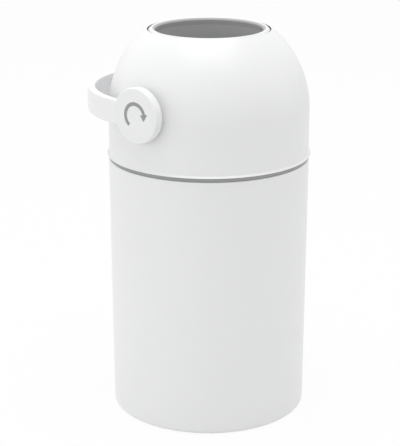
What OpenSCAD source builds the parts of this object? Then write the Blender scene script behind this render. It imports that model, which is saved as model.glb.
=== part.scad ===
// Nappy bin with a flip-over drum.
// A ball-shaped drum with a straight well through it turns in the domed top. Swinging the handle over
// the top stands the well on its head, and the loose piston in it pushes the nappy down into the bag.
// The top and the bag ring under it open on one pin at the back.
// Millimetres. +Z is up and the origin is the centre of the face that the bin stands on. -Y is the
// front, the hinge is at the back (+Y), and the handle rests on the left (-X).

/* [Tub] */
// Outer diameter of the tub at its rim
body_d = 240; // [220:1:290]
// How much narrower the tub is at its base, in radius
base_taper = 2; // [0:0.5:15]
// Height of the tub's rim above the floor
tub_h = 314.3; // [220:0.1:400]
// Wall of the tub
tub_wall = 2.8; // [2:0.1:4]
// Thickness of the tub's floor
floor_t = 3; // [2:0.5:5]
// Height of the hollow under the tub's floor
under_h = 3; // [2.5:0.5:8]
// Radius of the tub's lower edge
base_edge_r = 5; // [2:0.5:8]

/* [Anti-slip ring] */
// Distance from the base's side to the middle of the ring
foot_inset = 12; // [11:1:40]
// Width of the ring
foot_w = 8; // [4:0.5:12]
// How far the ring stands out of the base
foot_proud = 1; // [0.5:0.1:3]
// How deep the ring sits in its groove
foot_sunk = 2; // [1:0.1:2.4]
// Width of the base between the ring and the hollow inside it
foot_land = 6; // [3:0.5:12]

/* [Bag ring] */
// Height of the ring's edge, seen at the seam
ring_t = 4; // [3:0.1:6]
// How far the ring's edge stands out past the tub
ring_proud = 1.8; // [0.5:0.1:4]
// Thickness of the ring's outermost tip
ring_tip = 0.8; // [0.5:0.1:2]
// How far the ring reaches in from the tub's wall
ring_shelf = 13.2; // [10:0.1:20]
// Depth of the collar that the bag folds over
collar_h = 20; // [10:1:40]
// Wall of the ring's collar, skirt and bead
ring_wall = 2.4; // [1.5:0.1:4]
// Depth of the skirt that centres the ring in the tub
skirt_h = 6; // [3:0.5:12]
// Height of the bead that centres the top on the ring
bead_h = 2.2; // [1:0.1:2.8]
// Radius of the finger tab in the ring
tab_r = 13; // [8:0.5:16]
// Gap between the tub, the ring and the dome
seam_gap = 0.4; // [0.3:0.1:1]
// Chamfer on the tub's and the dome's outer edges at the seam
seam_edge = 0.6; // [0.2:0.1:1.2]

/* [Dome] */
// Wall of the dome
dome_wall = 2.5; // [2:0.1:3.5]
// How much smaller than the tub the dome is, in radius
dome_inset = 0.4; // [0:0.1:3]
// How far below the drum's axle the dome's side starts to curve
side_drop = 13; // [4:1:24]
// Radius of the eight-sided bead round the dome's mouth, over half the wall
mouth_bead_r = 1.4; // [1.4:0.1:2]
// Gap between the dome's mouth and the drum's rim
mouth_gap = 1.5; // [0.8:0.1:3]

/* [Drum] */
// Height of the drum's axle above the seam
axle_h = 68; // [60:0.5:80]
// Diameter of the well through the drum
well_d = 129.2; // [100:0.2:140]
// Wall of the well's liner
liner_wall = 1.8; // [1.2:0.1:3]
// How far the liner's end lips reach into the well
lip_w = 1.8; // [1.2:0.1:3]
// Height of the liner's end lips
lip_h = 4; // [3:0.5:8]
// Width of the drum's rim round the well
rim_w = 4.9; // [4:0.1:8]
// Wall of the drum's shells
drum_wall = 2.2; // [1.5:0.1:3]
// Room between the drum and the dome's side, for the bushes
side_room = 9.7; // [8.5:0.1:16]
// Gap between the drum and the dome's mouth
drum_gap = 0.5; // [0.4:0.1:2]
// Height of the liner's collars, which seat under the drum's rims
liner_collar_h = 6; // [2:0.5:12]

/* [Axle] */
// Diameter of the axle's journal
axle_d = 18; // [12:1:24]
// Running clearance of the journal in its bush, in radius
axle_play = 0.05; // [0.02:0.01:0.1]
// Wall of the bush
bush_wall = 3; // [2:0.5:5]
// How far the corners of the axle's square keys stay inside the journal
key_inset = 0.23; // [0.2:0.01:2]
// How far the flange that the drum's shells clamp stands out of the journal
axle_flange_w = 4; // [2:0.5:8]
// Thickness of that flange
axle_flange_t = 3; // [2:0.5:5]

/* [Handle] */
// Diameter of the hub discs
hub_d = 64.4; // [50:0.2:80]
// Thickness of the hub discs
hub_t = 10.4; // [9.8:0.1:16]
// Gap between a hub disc and the bush behind it
hub_gap = 1; // [0.5:0.1:3]
// Height of the handle's band
band_h = 28.3; // [18:0.1:40]
// Thickness of the handle's band
band_t = 9; // [6:0.5:12]
// Length of the straight arms, from the axle to where the band curves
arm_l = 22; // [8:1:40]
// Length of the band's flat end
end_flat = 22.8; // [4:0.2:60]
// Rounding of the band's edges
band_edge_r = 1.5; // [0.5:0.1:3]
// Diameter of the hub caps
cap_d = 54; // [40:1:60]
// Thickness of the hub caps
cap_t = 1.8; // [1.2:0.1:2.4]

/* [Piston] */
// Height of the piston
piston_h = 28; // [20:1:45]
// Thickness of the piston's web
piston_web = 3; // [2:0.5:6]
// Wall of the piston's rim
piston_wall = 2.6; // [2:0.2:5]
// Gap between the piston and the well, in radius
piston_gap = 0.5; // [0.35:0.05:1]
// Gap between the piston's seal and the well, in radius
piston_seal_gap = 0.3; // [0.3:0.05:0.5]
// Height of the piston's seal
piston_seal_h = 6; // [4:0.5:10]
// Chamfer round the piston's two faces
piston_edge = 3.5; // [1:0.5:4]

/* [Shroud and seals] */
// Height of the shroud's underside above the ring
shroud_lift = 5; // [4.5:0.5:8]
// Thickness of the shroud
shroud_t = 2.5; // [2:0.1:4]
// Height of the shroud's inner collar
shroud_collar_h = 8; // [5:0.5:12]
// Gap between a seal and the drum
seal_gap = 0.35; // [0.3:0.05:0.6]
// Height of the seals
seal_h = 6; // [4:0.5:8]
// Height of the groove between a seal's two lips
seal_groove_h = 2; // [1:0.5:2.5]
// Depth of that groove
seal_groove_t = 1.2; // [0.5:0.1:1.5]
// Height of the upper seal above the axle
upper_seal_z = 55; // [45:1:60]

/* [Hinge] */
// Diameter of the hinge pin
pin_d = 4; // [3:0.5:6]
// Running clearance of the pin, in radius
pin_play = 0.05; // [0.02:0.01:0.1]
// Diameter of the hinge's knuckles
knuckle_d = 10; // [8:0.5:14]
// Gap between neighbouring knuckles
knuckle_gap = 0.4; // [0.3:0.1:1]
// Width of each ring knuckle
ring_knuckle_w = 8; // [6:1:12]
// Width of each tub knuckle
tub_knuckle_w = 12; // [8:1:16]
// Width of each dome knuckle
dome_knuckle_w = 9; // [6:1:14]
// Distance between the two ring knuckles
knuckle_inset = 16; // [10:1:24]
// Height of the gussets that carry the knuckles
gusset_h = 24; // [12:1:40]

/* [Screws] */
// Shank diameter of the screws
screw_d = 3; // [2.5:0.1:4]
// Head diameter of the screws
head_d = 6.2; // [5:0.1:8]
// Head height of the screws
head_h = 2.2; // [1.5:0.1:3]
// Clearance round shanks and heads, in radius
screw_play = 0.3; // [0.1:0.05:0.6]
// Outer diameter of the screw bosses
boss_d = 9; // [7:0.5:12]

/* [Hidden] */
$fn = 180;
eps = 0.01;

// Levels and radii of the shells
body_r = body_d / 2;
base_r = body_r - base_taper;
foot_in_r = base_r - foot_inset - foot_w / 2;
foot_out_r = base_r - foot_inset + foot_w / 2;
base_z = foot_proud;
inside_z = base_z + under_h + floor_t;
corner = 3;
ring_z = tub_h + seam_gap;
ring_top = ring_z + ring_t;
ring_mid = ring_z + ring_t / 2;
ring_tip_r = body_r + ring_proud;
ring_fall = 0.6;
ring_root = 6;
skirt_gap = 0.6;
bead_gap = 2;
tab_out = 1;
ring_bore_r = body_r - tub_wall - ring_shelf;
dome_z = ring_top + seam_gap;
dome_r = body_r - dome_inset;

// The well, its rim and the dome's mouth
well_r = well_d / 2;
liner_r = well_r + liner_wall;
rim_r = liner_r + rim_w;
mouth_r = rim_r + mouth_gap;

// The ball fits between the dome's sides, and the dome's mouth fits round the ball
drum_z = ring_top + axle_h;
drum_r = dome_r - dome_wall - side_room;
side_z = drum_z - side_drop;
top_z = drum_z + sqrt(pow(drum_r + drum_gap + dome_wall, 2) - mouth_r * mouth_r);

// The dome's arc leaves the straight side upright and ends at the mouth
arc_in = dome_r - mouth_r;
arc_up = top_z - side_z;
arc_r = (arc_in * arc_in + arc_up * arc_up) / (2 * arc_in);
arc_x = dome_r - arc_r;

// Half way through the dome's wall, where its gussets end
dome_mid_r = dome_r - dome_wall / 2;

// The bead is a little thicker than the wall, and the wall's middle runs into the bead's centre
bead_x = mouth_r + mouth_bead_r;
bead_rise = sqrt(pow(arc_r - dome_wall / 2, 2) - pow(bead_x - arc_x, 2));
bead_z = side_z + bead_rise;

// The drum's rim: a flat land out to the ball, and a chamfered crown round the liner's end, whose
// outermost edge runs on the ball
land_z = sqrt(drum_r * drum_r - rim_r * rim_r);
land_t = 2.5;
crown_w = 3.6;
crown_edge = 1;
crown_top = sqrt(drum_r * drum_r - pow(liner_r + crown_w - crown_edge, 2));
liner_drop = 0.4;
liner_top = crown_top - liner_drop;
liner_collar_w = 2;

// The axle, from the drum out to the hubs
journal_r = axle_d / 2;
key_w = (journal_r - key_inset) * sqrt(2);
key_depth = 4;
bush_r = journal_r + axle_play + bush_wall;
bush_flange_w = 3;
bush_flange_t = 2;
bush_room = 2.4;
axle_reach = 15;
axle_key_l = 5;
clamp_wall = 4;
axle_in_y = drum_r - axle_reach;
flange_r = journal_r + axle_flange_w;
flange_y = axle_in_y + axle_key_l;
boss_y = drum_r + bush_room + bush_flange_t;
pad_proud = 0.4;
pad_y = dome_r + pad_proud;
hub_y = pad_y + hub_gap;
face_y = hub_y + hub_t;
cap_y = face_y - cap_t;
cap_bevel = 0.3;
cap_r = cap_d / 2 - 0.15;
head_room = 0.2;
head_y = cap_y - head_h - head_room;
screw_bite = 10;

// In plan the handle's band has a straight arm at each hub, two round corners and a flat end
corner_r = face_y - end_flat / 2;

// The piston in the well, resting on the lower lip
piston_r = well_r - piston_gap;
piston_end_gap = 0.3;
piston_z = lip_h - liner_top + piston_end_gap;
piston_travel = 2 * (liner_top - lip_h - piston_end_gap) - piston_h;
seal_groove = 2;
dish_r = piston_r - piston_wall - seal_groove;

// The shroud under the drum
shroud_z = ring_top + shroud_lift;
shroud_gap = 0.3;
shroud_r = dome_r - dome_wall - shroud_gap;
shroud_top = shroud_z + shroud_t;
collar_top = shroud_top + shroud_collar_h;
function ball_r(z, extra = 0) = sqrt(pow(drum_r + extra, 2) - pow(z - drum_z, 2));
collar_gap = 1.5;
shroud_in = ball_r(collar_top) + collar_gap;
lower_seal_w = 6;
post_sink = 0.8;
post_r = dome_r - dome_wall - boss_d / 2 + post_sink;
post_h = 30;
post_hole_h = 15;

// The hinge pin
pin_r = pin_d / 2;
knuckle_r = knuckle_d / 2;
knuckle_room = 1.2;
pin_y = ring_tip_r + knuckle_r + knuckle_room;
pin_z = ring_mid;
ring_knuckle_x = knuckle_inset / 2;
tub_knuckle_x = ring_knuckle_x + ring_knuckle_w + knuckle_gap;
dome_knuckle_x = tub_knuckle_x + tub_knuckle_w + knuckle_gap;
pin_end = 1;
pin_l = 2 * (dome_knuckle_x + dome_knuckle_w + pin_end);
neck = 0.88;
gusset_root = 16;

// The drum's screws stand between the liner and the ball
drum_screw_gap = 3;
drum_screw_r = rim_r + boss_d / 2 + drum_screw_gap;
drum_web = 14;
drum_screw_l = 26;

// A lug on the drum runs below the axle, between the ends of a half ring on the dome
axle_boss_w = 5;
axle_boss_r = bush_r + axle_boss_w;
stop_w = 4;
stop_r = axle_boss_r + stop_w;
stop_t = 3.55;
stop_gap = 0.35;
lug_h = 5;
lug_over = 1.2;
lug_root = 4.5;
lug_side_gap = 0.5;

white = [0.93, 0.93, 0.94];
grey = [0.55, 0.56, 0.58];
dark = [0.2, 0.2, 0.21];
steel = [0.72, 0.73, 0.75];

// ---------- helpers ----------

// A cylinder along Y from y0 to y1, at the drum's axle
module along_axle(r, y0, y1, x = 0, z = 0)
  translate([x, y1, drum_z + z]) rotate([90, 0, 0]) cylinder(r = r, h = y1 - y0);

// A square bar along Y at the drum's axle
module square_along_axle(w, y0, y1)
  translate([-w / 2, y0, drum_z - w / 2]) cube([w, y1 - y0, w]);

// A cylinder along X at the hinge pin, from x0 to x1
module along_pin(r, x0, x1)
  translate([x0, pin_y, pin_z]) rotate([0, 90, 0]) cylinder(r = r, h = x1 - x0);

// Its children at the front, and their mirror image at the back
module front_and_rear() {
  children();
  mirror([0, 1, 0]) children();
}

// A pair of knuckles from x0 to x0 + w on each side, with the gusset outline points in Y and Z
module knuckle_pair(x0, w, outline)
  for (side = [0, 1])
    mirror([side, 0, 0]) {
      along_pin(knuckle_r, x0, x0 + w);
      translate([x0, 0, 0]) rotate([90, 0, 90]) linear_extrude(w) polygon(outline);
    }

// Four places at 45 degrees on a circle
module on_diagonals(r)
  for (a = [45:90:315])
    rotate([0, 0, a]) translate([r, 0, 0]) children();

// A cheese-headed screw, its head below z = 0 and its shank above
module screw(length) {
  translate([0, 0, -head_h]) cylinder(d = head_d, h = head_h);
  cylinder(d = screw_d, h = length);
}

// ---------- tub ----------

module tub_outer()
  rotate_extrude() {
    polygon([
      [0, base_z], [base_r - base_edge_r, base_z], [base_r - base_edge_r, base_z + base_edge_r],
      [base_r, base_z + base_edge_r], [body_r, tub_h - seam_edge], [body_r - seam_edge, tub_h], [0, tub_h]
    ]);
    intersection() {
      translate([base_r - base_edge_r, base_z + base_edge_r]) circle(base_edge_r);
      translate([base_r - base_edge_r, base_z]) square(base_edge_r);
    }
  }

module tub_cavity()
  rotate_extrude()
    polygon([
      [0, inside_z], [base_r - tub_wall - corner, inside_z], [base_r - tub_wall, inside_z + corner],
      [body_r - tub_wall, tub_h], [body_r - tub_wall, tub_h + knuckle_d], [0, tub_h + knuckle_d]
    ]);

module foot_ring_body()
  rotate_extrude() translate([foot_in_r, 0]) square([foot_w, base_z + foot_sunk]);

module tub() color(white)
  difference() {
    union() {
      tub_outer();
      knuckle_pair(tub_knuckle_x, tub_knuckle_w, [
        [body_r - tub_wall, tub_h - gusset_h], [pin_y + knuckle_r * 0.6, pin_z - knuckle_r * 0.8],
        [pin_y, pin_z], [pin_y - knuckle_r * neck, tub_h], [body_r - tub_wall * 2, tub_h]
      ]);
    }
    tub_cavity();
    cylinder(r = foot_in_r - foot_land, h = base_z + under_h);
    foot_ring_body();
    along_pin(pin_r, -pin_l, pin_l);
  }

module foot_ring() color(dark) foot_ring_body();

module hinge_pin() color(steel)
  along_pin(pin_r, -pin_l / 2, pin_l / 2);

// ---------- bag ring ----------

module bag_ring() color(grey)
  difference() {
    union() {
      rotate_extrude() {
        polygon([
          [ring_bore_r, ring_z], [body_r - ring_fall, ring_z], [ring_tip_r, ring_mid - ring_tip / 2],
          [ring_tip_r, ring_mid + ring_tip / 2], [body_r - ring_fall, ring_top], [ring_bore_r, ring_top]
        ]);
        translate([ring_bore_r, ring_z - collar_h]) square([ring_wall, collar_h + ring_t / 2]);
        translate([body_r - tub_wall - skirt_gap - ring_wall, ring_z - skirt_h])
          square([ring_wall, skirt_h + ring_t / 2]);
        translate([dome_r - dome_wall - bead_gap - ring_wall, ring_mid])
          square([ring_wall, ring_t / 2 + bead_h]);
      }
      knuckle_pair(ring_knuckle_x, ring_knuckle_w, [
        [body_r - ring_root, ring_z], [pin_y, ring_z], [pin_y, ring_top], [body_r - ring_root, ring_top]
      ]);
      translate([0, tab_out - ring_bore_r, ring_top - ring_wall]) cylinder(r = tab_r, h = ring_wall);
    }
    along_pin(pin_r + pin_play, -pin_l, pin_l);
  }

// ---------- dome ----------

// The dome's outline, t inside its outer face and from the height z0 up
module dome_outline(t, z0) {
  translate([0, z0]) square([dome_r - t, side_z - z0]);
  intersection() {
    translate([arc_x, side_z]) circle(arc_r - t);
    translate([0, side_z]) square([dome_r, arc_r]);
  }
}

// The dome's wall and the bead round its mouth, in one turned outline
module dome_shell()
  rotate_extrude() {
    difference() {
      dome_outline(0, dome_z);
      dome_outline(dome_wall, dome_z - 1);
      polygon([
        [arc_x, side_z], [arc_x + 2 * (bead_x - arc_x), side_z + 2 * bead_rise],
        [arc_x, side_z + 2 * arc_r]
      ]);
      polygon([
        [dome_r - seam_edge, dome_z - 1], [dome_r - seam_edge, dome_z],
        [dome_r, dome_z + seam_edge], [dome_r + 1, dome_z - 1]
      ]);
    }
    translate([bead_x, bead_z]) circle(mouth_bead_r, $fn = 8);
  }

module dome() color(white)
  difference() {
    union() {
      dome_shell();
      difference() {
        knuckle_pair(dome_knuckle_x, dome_knuckle_w, [
          [body_r - gusset_root, dome_z], [pin_y - knuckle_r * neck, dome_z], [pin_y, pin_z],
          [pin_y + knuckle_r * 0.5, pin_z + knuckle_r * 0.8], [body_r - gusset_root, dome_z + gusset_h]
        ]);
        translate([0, 0, dome_z - 1]) cylinder(r = dome_mid_r, h = gusset_h + 2);
      }
      front_and_rear() along_axle(axle_boss_r, -pad_y, -boss_y);
      stop_half_rings();
      on_diagonals(post_r) translate([0, 0, shroud_top]) cylinder(d = boss_d, h = post_h);
    }
    front_and_rear() along_axle(bush_r, -pad_y - 1, -boss_y + 1);
    along_pin(pin_r + pin_play, -pin_l, pin_l);
    on_diagonals(post_r) translate([0, 0, shroud_top - 1]) cylinder(d = screw_d, h = post_hole_h + 1);
  }

// The half ring above each axle that stops the drum's lug at both ends of its travel
module stop_half_rings()
  front_and_rear()
    difference() {
      along_axle(stop_r, -boss_y - stop_t, -boss_y);
      translate([0, -dome_r, drum_z - stop_r - 1])
        cube([stop_r + 1, dome_r, stop_r + 1 + lug_h + stop_gap]);
      translate([-stop_r - 1, -dome_r, drum_z - stop_r - 1])
        cube([stop_r + 1 + eps, dome_r, stop_r + 1 + stop_gap]);
    }

module bush() color(grey)
  difference() {
    union() {
      along_axle(bush_r, -pad_y, -boss_y);
      along_axle(bush_r + bush_flange_w, -boss_y, -boss_y + bush_flange_t);
    }
    along_axle(journal_r + axle_play, -pad_y - 1, -boss_y + bush_flange_t + 1);
  }

module front_bush() bush();

module rear_bush() mirror([0, 1, 0]) bush();

module upper_seal() color(dark)
  rotate_extrude()
    difference() {
      intersection() {
        dome_outline(dome_wall, dome_z);
        translate([mouth_r, drum_z + upper_seal_z]) square([dome_r, seal_h]);
      }
      translate([0, drum_z]) circle(drum_r + seal_gap);
      seal_lips_groove(drum_z + upper_seal_z);
    }

// The groove that parts the two lips of the seal that starts at height z
module seal_lips_groove(z)
  intersection() {
    translate([0, z + (seal_h - seal_groove_h) / 2]) square([dome_r, seal_groove_h]);
    translate([0, drum_z]) circle(drum_r + seal_gap + seal_groove_t);
  }

module lower_shroud() color(grey)
  difference() {
    rotate_extrude() {
      translate([shroud_in, shroud_z]) square([shroud_r - shroud_in, shroud_t]);
      translate([shroud_in, shroud_z]) square([ring_wall, collar_top - shroud_z]);
    }
    on_diagonals(post_r) translate([0, 0, shroud_z - 1])
      cylinder(r = screw_d / 2 + screw_play, h = shroud_t + 2);
  }

module lower_seal() color(dark)
  rotate_extrude()
    difference() {
      translate([shroud_in - lower_seal_w, collar_top - seal_h]) square([lower_seal_w, seal_h]);
      translate([0, drum_z]) circle(drum_r + seal_gap);
      seal_lips_groove(collar_top - seal_h);
    }

module shroud_screws() color(steel)
  on_diagonals(post_r) translate([0, 0, shroud_z]) screw(shroud_t + post_hole_h - 3);

// ---------- drum ----------

// The upper half of the ball's shell, about the drum's centre
module half_ball()
  rotate_extrude() {
    intersection() {
      difference() {
        circle(drum_r);
        circle(drum_r - drum_wall);
      }
      translate([rim_r - land_t, 0]) square([drum_r, land_z]);
    }
    translate([liner_r, land_z - land_t]) square([crown_w, land_t]);
    polygon([
      [liner_r, land_z - 1], [liner_r, crown_top - crown_edge], [liner_r + crown_edge, crown_top],
      [liner_r + crown_w - crown_edge, crown_top], [liner_r + crown_w, crown_top - crown_edge],
      [liner_r + crown_w, land_z - 1]
    ]);
  }

// The half round boss that clamps an axle, about the drum's centre and at the front
module axle_clamp()
  intersection() {
    translate([0, 0, -drum_z]) along_axle(flange_r + clamp_wall, -drum_r, -axle_in_y + 2);
    sphere(drum_r - 1);
    translate([-drum_r, -drum_r, 0]) cube([2 * drum_r, 2 * drum_r, drum_r]);
  }

module screw_column(r)
  intersection() {
    on_diagonals(drum_screw_r) cylinder(r = r, h = drum_r);
    sphere(drum_r - 1);
  }

// One drum shell, about the drum's centre: both are the same moulding but for the screws' holes
module half_drum()
  difference() {
    union() {
      half_ball();
      front_and_rear() axle_clamp();
      screw_column(boss_d / 2);
    }
    translate([0, 0, -drum_z]) front_and_rear() axle_body();
  }

module upper_drum_shell() color(white)
  translate([0, 0, drum_z])
    difference() {
      union() {
        half_drum();
        front_and_rear() stop_lug();
      }
      on_diagonals(drum_screw_r) cylinder(d = screw_d, h = drum_screw_l - drum_web + 2);
    }

// The lug on the ball that meets the ends of the dome's half ring
module stop_lug()
  translate([axle_boss_r + lug_side_gap, -boss_y - lug_over, 0])
    cube([stop_w - lug_side_gap, boss_y + lug_over - drum_r + lug_root, lug_h]);

module lower_drum_shell() color(white)
  translate([0, 0, drum_z])
    difference() {
      mirror([0, 0, 1]) half_drum();
      on_diagonals(drum_screw_r) translate([0, 0, -drum_r]) {
        cylinder(r = screw_d / 2 + screw_play, h = drum_r + 1);
        cylinder(r = head_d / 2 + screw_play, h = drum_r - drum_web);
      }
    }

module drum_screws() color(steel)
  translate([0, 0, drum_z]) on_diagonals(drum_screw_r) translate([0, 0, -drum_web]) screw(drum_screw_l);

// Half of the liner's outline above the drum's centre, with its collar and its rounded end lip
module liner_outline() {
  translate([well_r, 0]) square([liner_wall, liner_top]);
  translate([well_r, land_z - land_t - liner_collar_h])
    square([liner_wall + liner_collar_w, liner_collar_h]);
  difference() {
    translate([well_r - lip_w, liner_top - lip_h]) square([lip_w + 0.2, lip_h]);
    difference() {
      translate([well_r - lip_w - 1, liner_top - lip_h / 2]) square([lip_w + 1, lip_h]);
      translate([well_r - lip_w + lip_h / 2, liner_top - lip_h / 2]) circle(lip_h / 2);
    }
  }
}

module drum_liner() color(grey)
  translate([0, 0, drum_z])
    rotate_extrude() {
      liner_outline();
      mirror([0, 1]) liner_outline();
    }

// The front axle: a key and a flange in the drum, a journal in the bush and a key in the handle
module axle_body() {
  square_along_axle(key_w, -flange_y, -axle_in_y);
  along_axle(flange_r, -flange_y - axle_flange_t, -flange_y);
  along_axle(journal_r, -hub_y, -flange_y);
  square_along_axle(key_w, -hub_y - key_depth, -hub_y);
}

module axle() color(grey)
  difference() {
    axle_body();
    along_axle(screw_d / 2, -hub_y - key_depth - 1, -hub_y + screw_bite + 2);
  }

module front_axle() axle();

module rear_axle() mirror([0, 1, 0]) axle();

// ---------- handle ----------

// The band's section, its outer face at x = 0
module band_section() {
  r = band_edge_r;
  translate([-band_t, r - band_h / 2]) square([band_t, band_h - 2 * r]);
  translate([r - band_t, -band_h / 2]) square([band_t - 2 * r, band_h]);
  for (x = [-r, r - band_t])
    for (y = [-1, 1])
      translate([x, y * (band_h / 2 - r)]) circle(r);
}

module band()
  translate([0, 0, drum_z]) {
    for (side = [0, 1])
      mirror([0, side, 0]) {
        translate([-arm_l, end_flat / 2, 0]) rotate([0, 0, 90])
          rotate_extrude(angle = 90) translate([corner_r, 0]) band_section();
        translate([-arm_l, 0, 0]) rotate([90, 0, 90])
          linear_extrude(arm_l) translate([face_y, 0]) band_section();
      }
    translate([-arm_l - corner_r, end_flat / 2, 0]) rotate([90, 0, 0])
      linear_extrude(end_flat) mirror([1, 0]) band_section();
  }

module handle() color(white)
  difference() {
    union() {
      front_and_rear() hub_disc();
      band();
    }
    front_and_rear() {
      along_axle(cap_d / 2, -face_y - 1, -cap_y);
      along_axle(head_d / 2 + screw_play, -cap_y - 1, -head_y);
      along_axle(screw_d / 2 + screw_play, -face_y, -hub_y);
      square_along_axle(key_w, -hub_y - key_depth, -hub_y + 1);
    }
  }

// A hub disc with its outer edge rounded
module hub_disc() {
  r = band_edge_r;
  translate([0, -hub_y, drum_z]) rotate([90, 0, 0])
    rotate_extrude() {
      square([hub_d / 2, hub_t - r]);
      square([hub_d / 2 - r, hub_t]);
      translate([hub_d / 2 - r, hub_t - r]) circle(r);
    }
}

module handle_screw()
  translate([0, -head_y, drum_z]) rotate([-90, 0, 0]) screw(head_y - hub_y + screw_bite);

module handle_screws() color(steel) front_and_rear() handle_screw();

// A hub cap with a shallow chamfer, flush with the disc's face
module hub_cap() color(white)
  translate([0, -cap_y, drum_z]) rotate([90, 0, 0]) {
    cylinder(r = cap_r, h = cap_t - cap_bevel);
    translate([0, 0, cap_t - cap_bevel]) cylinder(r1 = cap_r, r2 = cap_r - cap_bevel, h = cap_bevel);
  }

module front_hub_cap() hub_cap();

module rear_hub_cap() mirror([0, 1, 0]) hub_cap();

// ---------- piston ----------

// The upper half of the piston's outline, its centre at the origin
module half_piston()
  difference() {
    polygon([
      [0, 0], [piston_r, 0], [piston_r, piston_h / 2 - piston_edge],
      [piston_r - piston_edge, piston_h / 2], [0, piston_h / 2]
    ]);
    translate([0, piston_web / 2]) square([dish_r, piston_h]);
    translate([piston_r - seal_groove, -1]) square([seal_groove + 1, piston_seal_h / 2 + 1]);
  }

module piston() color(grey)
  translate([0, 0, drum_z + piston_z + piston_h / 2])
    rotate_extrude() {
      half_piston();
      mirror([0, 1]) half_piston();
    }

module piston_seal() color(dark)
  translate([0, 0, drum_z + piston_z + (piston_h - piston_seal_h) / 2])
    rotate_extrude()
      translate([piston_r - seal_groove, 0])
        square([well_r - piston_seal_gap - piston_r + seal_groove, piston_seal_h]);

tub();
foot_ring();
hinge_pin();
bag_ring();
dome();
front_bush();
rear_bush();
upper_seal();
lower_shroud();
lower_seal();
shroud_screws();
upper_drum_shell();
lower_drum_shell();
drum_liner();
drum_screws();
front_axle();
rear_axle();
handle();
handle_screws();
front_hub_cap();
rear_hub_cap();
piston();
piston_seal();
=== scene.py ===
"""Looks, light and camera of a nappy bin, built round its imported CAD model.

The mouldings are built here on the CAD's own sizes, with the soft edges that a moulding tool leaves.
At the seam, the mouth and the well's rim their edges follow the photograph instead. The small
fastenings and the hidden rings keep their CAD shapes and get finishes. Lengths in the classes of the
sub-assemblies are millimetres, those of the finishes and the studio are metres, and every mesh is
written in metres in the CAD's frame.
"""

import logging
import math
from dataclasses import dataclass
from enum import Enum, IntEnum
from functools import cache
from typing import Sequence

import bmesh
import bpy
from mathutils import Matrix, Vector


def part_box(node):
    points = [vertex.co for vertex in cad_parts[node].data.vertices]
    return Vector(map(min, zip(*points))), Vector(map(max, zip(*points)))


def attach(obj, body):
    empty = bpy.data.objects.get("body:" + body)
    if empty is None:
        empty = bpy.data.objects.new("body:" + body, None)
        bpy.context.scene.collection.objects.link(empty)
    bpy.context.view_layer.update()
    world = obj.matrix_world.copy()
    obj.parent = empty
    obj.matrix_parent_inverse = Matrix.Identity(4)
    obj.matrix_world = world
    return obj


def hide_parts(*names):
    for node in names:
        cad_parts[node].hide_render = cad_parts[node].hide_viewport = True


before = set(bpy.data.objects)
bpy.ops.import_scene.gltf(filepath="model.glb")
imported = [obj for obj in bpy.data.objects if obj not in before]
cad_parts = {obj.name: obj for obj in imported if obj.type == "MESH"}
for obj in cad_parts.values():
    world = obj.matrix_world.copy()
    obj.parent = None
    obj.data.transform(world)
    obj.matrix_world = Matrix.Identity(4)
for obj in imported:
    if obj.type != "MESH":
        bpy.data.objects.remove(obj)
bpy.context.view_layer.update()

logging.basicConfig(level=logging.INFO, format="%(message)s")
log = logging.getLogger("nappy_bin")

Rgb = tuple[float, float, float]
Point = tuple[float, float]
Corner = tuple[float, float, float]  # a point and the radius of its rounding
Tree, Node, Socket = bpy.types.NodeTree, bpy.types.Node, bpy.types.NodeSocket
Obj = bpy.types.Object

MM = 0.001
SHARP_ANGLE = math.radians(32.0)  # edges that turn more stay sharp
FLAT_WEIGHT = 80  # how much large faces count in the smoothed normals
MERGE_DISTANCE = 1e-4  # mm, below which two vertices are one
ON_AXIS = 1e-6  # mm, within which a point lies on the axis
EDGE_SHARE = 0.49  # of an edge, which one rounding may take
PIN_REACH = 60.0  # mm, from the middle to the end of the hinge pin's bore


class Slot(Enum):
    """The record's material slots, by name."""

    WHITE = "white_plastic"
    GREY = "grey_plastic"
    SEAL = "seal_rubber"


class Body(Enum):
    """The CAD bodies that pieces ride on."""

    BASE = "base"
    RING = "ring"
    TOP = "top"
    DRUM = "drum"
    PISTON = "piston"


class Change(Enum):
    """What a boolean step does to its target."""

    JOIN = "UNION"
    CUT = "DIFFERENCE"
    TRIM = "INTERSECT"


class Faces(IntEnum):
    """Faces round an axis, by the size of the part."""

    WALL = 288
    PLAIN = 240
    HUB = 192
    BOSS = 96
    AXLE = 80
    KNUCKLE = 64
    PIN = 48
    COLUMN = 40
    SQUARE = 4


class Pieces(IntEnum):
    """Pieces in an arc of an outline, by what it draws."""

    WALL = 60
    BEND = 48
    FINE = 40
    STOP = 36
    BEAD = 18
    LIP = 14


# ---------- shader groups ----------

FLOAT, COLOUR, VECTOR = "NodeSocketFloat", "NodeSocketColor", "NodeSocketVector"
WHITE = (1, 1, 1, 1)


def new_group(name: str, inputs: Sequence[tuple], outputs: Sequence[tuple[str, str]]) -> Tree:
    """Makes an empty shader group with its sockets.

    Args:
        name: The group's name.
        inputs: Socket type, name and default value of each input.
        outputs: Socket type and name of each output.

    Returns:
        The node tree.
    """
    tree = bpy.data.node_groups.new(name, "ShaderNodeTree")
    for socket_type, label, value in inputs:
        socket = tree.interface.new_socket(name=label, in_out="INPUT", socket_type=socket_type)
        socket.default_value = value
    for socket_type, label in outputs:
        tree.interface.new_socket(name=label, in_out="OUTPUT", socket_type=socket_type)
    return tree


def feed(tree: Tree, socket: Socket, value: object) -> None:
    """Feeds an input.

    Args:
        tree: The tree of the input's node.
        socket: The input.
        value: An output to link to it, or a plain value.
    """
    if isinstance(value, Socket):
        tree.links.new(value, socket)
    else:
        socket.default_value = value


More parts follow.
